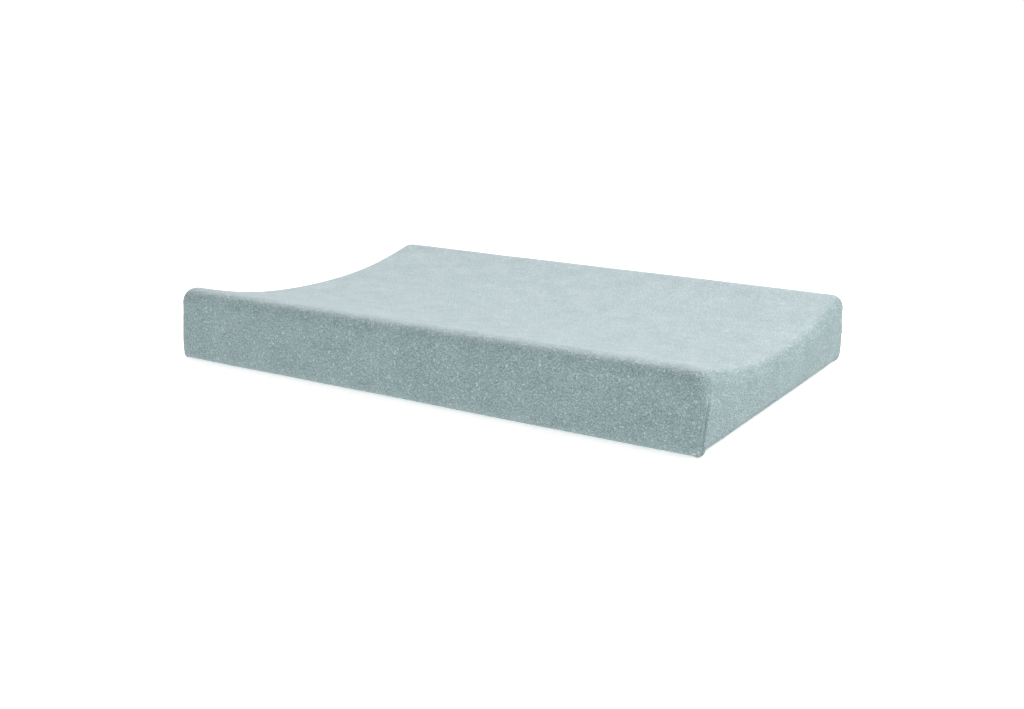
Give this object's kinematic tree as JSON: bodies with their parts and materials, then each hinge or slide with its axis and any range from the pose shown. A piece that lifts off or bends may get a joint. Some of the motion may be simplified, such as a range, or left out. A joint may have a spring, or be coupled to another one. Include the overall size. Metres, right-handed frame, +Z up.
{
  "type": "changing pad",
  "caption": "Contoured baby changing pad: raised long sides and a trough open at both ends, a foam block in a zipped wipe-clean case under a fitted terry cover.",
  "frame": {"origin": "middle of the underside, on the surface that the pad rests on", "axes": "+X along the pad's length and along the trough, +Y across it towards the back long side, +Z up out of the lying surface"},
  "size_m": [0.7, 0.5, 0.0889],
  "materials": {
    "terry": "matte cotton terry with a short looped pile",
    "elastic": "ribbed white elastic",
    "label": "blank satin tape",
    "foam": "open-cell polyurethane foam",
    "coated_cloth": "satin polyurethane-coated cloth",
    "vent_metal": "satin nickel",
    "zip_tape": "woven polyester",
    "zip_nylon": "nylon",
    "zip_metal": "satin nickel"
  },
  "bodies": {
    "pad": {"foam_core": "foam", "case_top_sheet": "coated_cloth", "case_front_wall": "coated_cloth", "case_back_wall": "coated_cloth", "case_left_wall": "coated_cloth", "case_right_wall": "coated_cloth", "case_bottom_front": "coated_cloth", "case_bottom_back": "coated_cloth", "case_care_label": "label", "vent_eyelets": "vent_metal", "vent_washers": "vent_metal", "zip_tape_front": "zip_tape", "zip_tape_back": "zip_tape", "zip_coil_front": "zip_nylon", "zip_coil_back": "zip_nylon", "zip_top_stops": "zip_metal", "zip_bottom_stop": "zip_metal"},
    "cover": {"terry_cover": "terry", "cover_hem": "terry", "hem_casing": "terry", "hem_elastic": "elastic", "cover_care_label": "label", "corner_seam_front_left": "terry", "corner_seam_front_right": "terry", "corner_seam_back_left": "terry", "corner_seam_back_right": "terry"},
    "zip_slider": {"zip_slider": "zip_metal"},
    "zip_pull": {"zip_pull": "zip_metal"}
  },
  "joints": [
    {"name": "cover_lift", "type": "slide", "parent": "pad", "child": "cover", "axis": [0, 0, 1], "range_m": [0, 0.14], "deforming": ["cover_hem", "hem_casing", "hem_elastic", "cover_care_label"]},
    {"name": "zip_slide", "type": "slide", "parent": "pad", "child": "zip_slider", "axis": [1, 0, 0], "range_m": [-0.4655, 0]},
    {"name": "pull_swing", "type": "hinge", "parent": "zip_slider", "child": "zip_pull", "pos_m": [0.232, 0, 0.002], "axis": [0, 1, 0], "range_deg": [-178, 0]}
  ]
}
